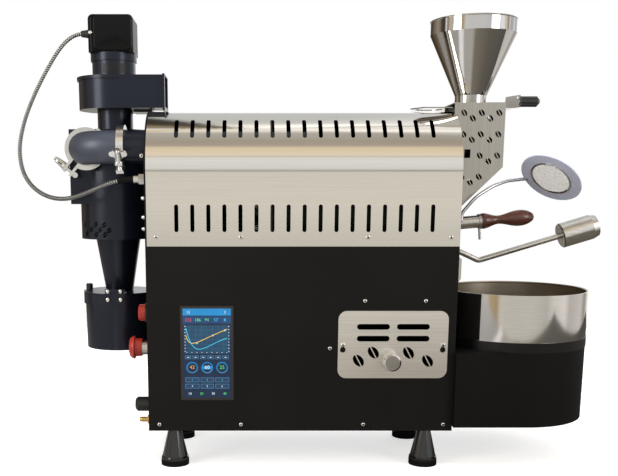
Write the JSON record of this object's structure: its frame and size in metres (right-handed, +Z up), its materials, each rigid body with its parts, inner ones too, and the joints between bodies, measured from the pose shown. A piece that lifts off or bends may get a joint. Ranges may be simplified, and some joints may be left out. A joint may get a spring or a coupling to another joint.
{
  "type": "home coffee bean roaster",
  "caption": "Gas-fired drum coffee roaster with slotted steel cover, bean hopper, round cooling tray, cyclone chaff collector and top blower.",
  "frame": {"origin": "middle of the footprint of everything but the conduit, on the table top", "axes": "+X from the cyclone end to the cooling tray, -Y to the operator, +Z up"},
  "size_m": [1.1035, 0.285, 0.808],
  "materials": {
    "black_powder_coat": "fine matte powder coat",
    "cover_steel": "brushed sides, polished shoulder",
    "face_plate_steel": "satin black",
    "drum_steel": "heat-tinted steel",
    "foot_black": "gloss black",
    "pad_rubber": "matte rubber",
    "screen_frame": "satin frame",
    "screen_face": "dark display glass",
    "fastener_steel": "bright steel",
    "burner_iron": "cast burner tubes",
    "brass_fitting": "turned brass",
    "bearing_bronze": "flanged bearings",
    "motor_black": "satin black",
    "polished_steel": "mirror polished stainless",
    "brushed_steel": "brushed stainless",
    "lever_steel": "satin stainless",
    "gate_grip_black": "black grip",
    "sight_window": "heat-proof glass",
    "duct_black": "satin black enamel",
    "knob_red": "red push buttons",
    "knob_black": "black lid knobs",
    "terminal_black": "gloss black",
    "collar_grey": "dark collars",
    "conduit_steel": "corrugated metal conduit",
    "base_black": "satin black",
    "fan_black": "moulded fan",
    "walnut": "varnished dark wood",
    "lamp_silver": "satin silver",
    "lamp_diffuser": "frosted diffuser"
  },
  "bodies": {
    "chassis": {"side_panels": "black_powder_coat", "floor_pan": "black_powder_coat", "rear_panel": "black_powder_coat", "front_plate": "face_plate_steel", "drum_cover": "cover_steel", "drum_housing": "drum_steel", "feet": "foot_black", "foot_pads": "pad_rubber", "screen_bezel": "screen_frame", "screen_glass": "screen_face", "panel_fasteners": "fastener_steel", "burner": "burner_iron", "gas_inlet": "brass_fitting", "drum_bearings": "bearing_bronze", "drum_motor": "motor_black", "hopper": "polished_steel", "chute_box": "brushed_steel", "sight_glass": "sight_window", "discharge_spout": "brushed_steel", "smoke_pipe": "duct_black", "smoke_elbow": "duct_black", "duct_clamps": "brushed_steel", "cyclone_body": "duct_black", "chaff_lid": "duct_black", "blower_housing": "duct_black", "blower_motor": "motor_black", "terminal_box": "terminal_black", "cable_glands": "collar_grey", "conduit": "conduit_steel", "tray_base": "base_black", "tray_collar": "base_black", "stirrer_motor": "motor_black", "fan_frame": "fan_black", "tryer_sleeve": "brushed_steel", "switch_collars": "collar_grey"},
    "drum": {"roasting_drum": "drum_steel", "drum_shaft": "drum_steel"},
    "pinion": {"motor_pinion": "drum_steel"},
    "blower_wheel": {"blower_impeller": "duct_black"},
    "tray": {"cooling_tray": "polished_steel"},
    "stirrer_arms": {"stirrer": "brushed_steel"},
    "cooling_fan": {"fan_impeller": "fan_black"},
    "gate": {"gate_plate": "brushed_steel", "gate_grip": "gate_grip_black"},
    "tryer": {"tryer_scoop": "brushed_steel", "tryer_handle": "walnut"},
    "door": {"discharge_door": "lever_steel", "door_weight": "lever_steel"},
    "access_cover": {"access_plate": "brushed_steel", "access_knob": "polished_steel"},
    "emergency_stop": {"estop_head": "knob_red"},
    "start_switch": {"start_button": "knob_red"},
    "bin": {"chaff_bin": "duct_black"},
    "lid_knob_rear": {"chaff_knob_rear": "knob_black"},
    "lid_knob_front": {"chaff_knob_front": "knob_black"},
    "pipe_nut": {"pipe_wing_nut": "brushed_steel"},
    "elbow_nut": {"elbow_wing_nut": "brushed_steel"},
    "lamp": {"lamp_neck": "lever_steel", "lamp_head": "lamp_silver", "lamp_lens": "lamp_diffuser"}
  },
  "joints": [
    {"name": "drum_spin", "type": "hinge", "parent": "chassis", "child": "drum", "pos_m": [0.20443, 0.0095, 0.48], "axis": [1, 0, 0], "continuous": true},
    {"name": "pinion_spin", "type": "hinge", "parent": "chassis", "child": "pinion", "pos_m": [-0.14857, 0.0095, 0.4], "axis": [1, 0, 0], "continuous": true},
    {"name": "blower_spin", "type": "hinge", "parent": "chassis", "child": "blower_wheel", "pos_m": [-0.41057, 0.0725, 0.641], "axis": [0, 0, 1], "continuous": true},
    {"name": "tray_lift", "type": "slide", "parent": "chassis", "child": "tray", "axis": [0, 0, 1], "range_m": [0, 0.008]},
    {"name": "stirrer_spin", "type": "hinge", "parent": "tray", "child": "stirrer_arms", "pos_m": [0.33843, 0.0095, 0.243], "axis": [0, 0, 1], "continuous": true},
    {"name": "fan_spin", "type": "hinge", "parent": "chassis", "child": "cooling_fan", "pos_m": [0.41243, 0.0095, 0.089], "axis": [0, 0, 1], "continuous": true},
    {"name": "gate_slide", "type": "slide", "parent": "chassis", "child": "gate", "axis": [1, 0, 0], "range_m": [0, 0.075]},
    {"name": "tryer_pull", "type": "slide", "parent": "chassis", "child": "tryer", "axis": [0.9962, 0, 0.0872], "range_m": [0, 0.14]},
    {"name": "door_swing", "type": "hinge", "parent": "chassis", "child": "door", "pos_m": [0.21443, 0.0255, 0.434], "axis": [0, -1, 0], "range_deg": [0, 55]},
    {"name": "access_lift", "type": "slide", "parent": "chassis", "child": "access_cover", "axis": [0, 0, 1], "range_m": [0, 0.009]},
    {"name": "estop_press", "type": "slide", "parent": "chassis", "child": "emergency_stop", "axis": [1, 0, 0], "range_m": [0, 0.005], "stiffness_N_per_m": 2500},
    {"name": "start_press", "type": "slide", "parent": "chassis", "child": "start_switch", "axis": [1, 0, 0], "range_m": [0, 0.003], "stiffness_N_per_m": 1500},
    {"name": "bin_drop", "type": "slide", "parent": "chassis", "child": "bin", "axis": [0, 0, -1], "range_m": [0, 0.09]},
    {"name": "lid_knob_rear_turn", "type": "hinge", "parent": "chassis", "child": "lid_knob_rear", "pos_m": [-0.46957, 0.0725, 0.303], "axis": [0, 0, 1], "continuous": true},
    {"name": "lid_knob_front_turn", "type": "hinge", "parent": "chassis", "child": "lid_knob_front", "pos_m": [-0.35157, 0.0725, 0.303], "axis": [0, 0, 1], "continuous": true},
    {"name": "pipe_nut_turn", "type": "hinge", "parent": "chassis", "child": "pipe_nut", "pos_m": [-0.38057, -0.10004, 0.5365], "axis": [0, -0.6428, 0.766], "continuous": true},
    {"name": "elbow_nut_turn", "type": "hinge", "parent": "chassis", "child": "elbow_nut", "pos_m": [-0.48556, -0.0025, 0.53046], "axis": [-0.766, 0, 0.6428], "continuous": true},
    {"name": "lamp_swivel", "type": "hinge", "parent": "chassis", "child": "lamp", "pos_m": [0.20443, -0.0445, 0.441], "axis": [1, 0, 0], "range_deg": [0, 60]}
  ],
  "couplings": [
    {"joint": "pinion_spin", "follows": "drum_spin", "ratio": -3}
  ]
}
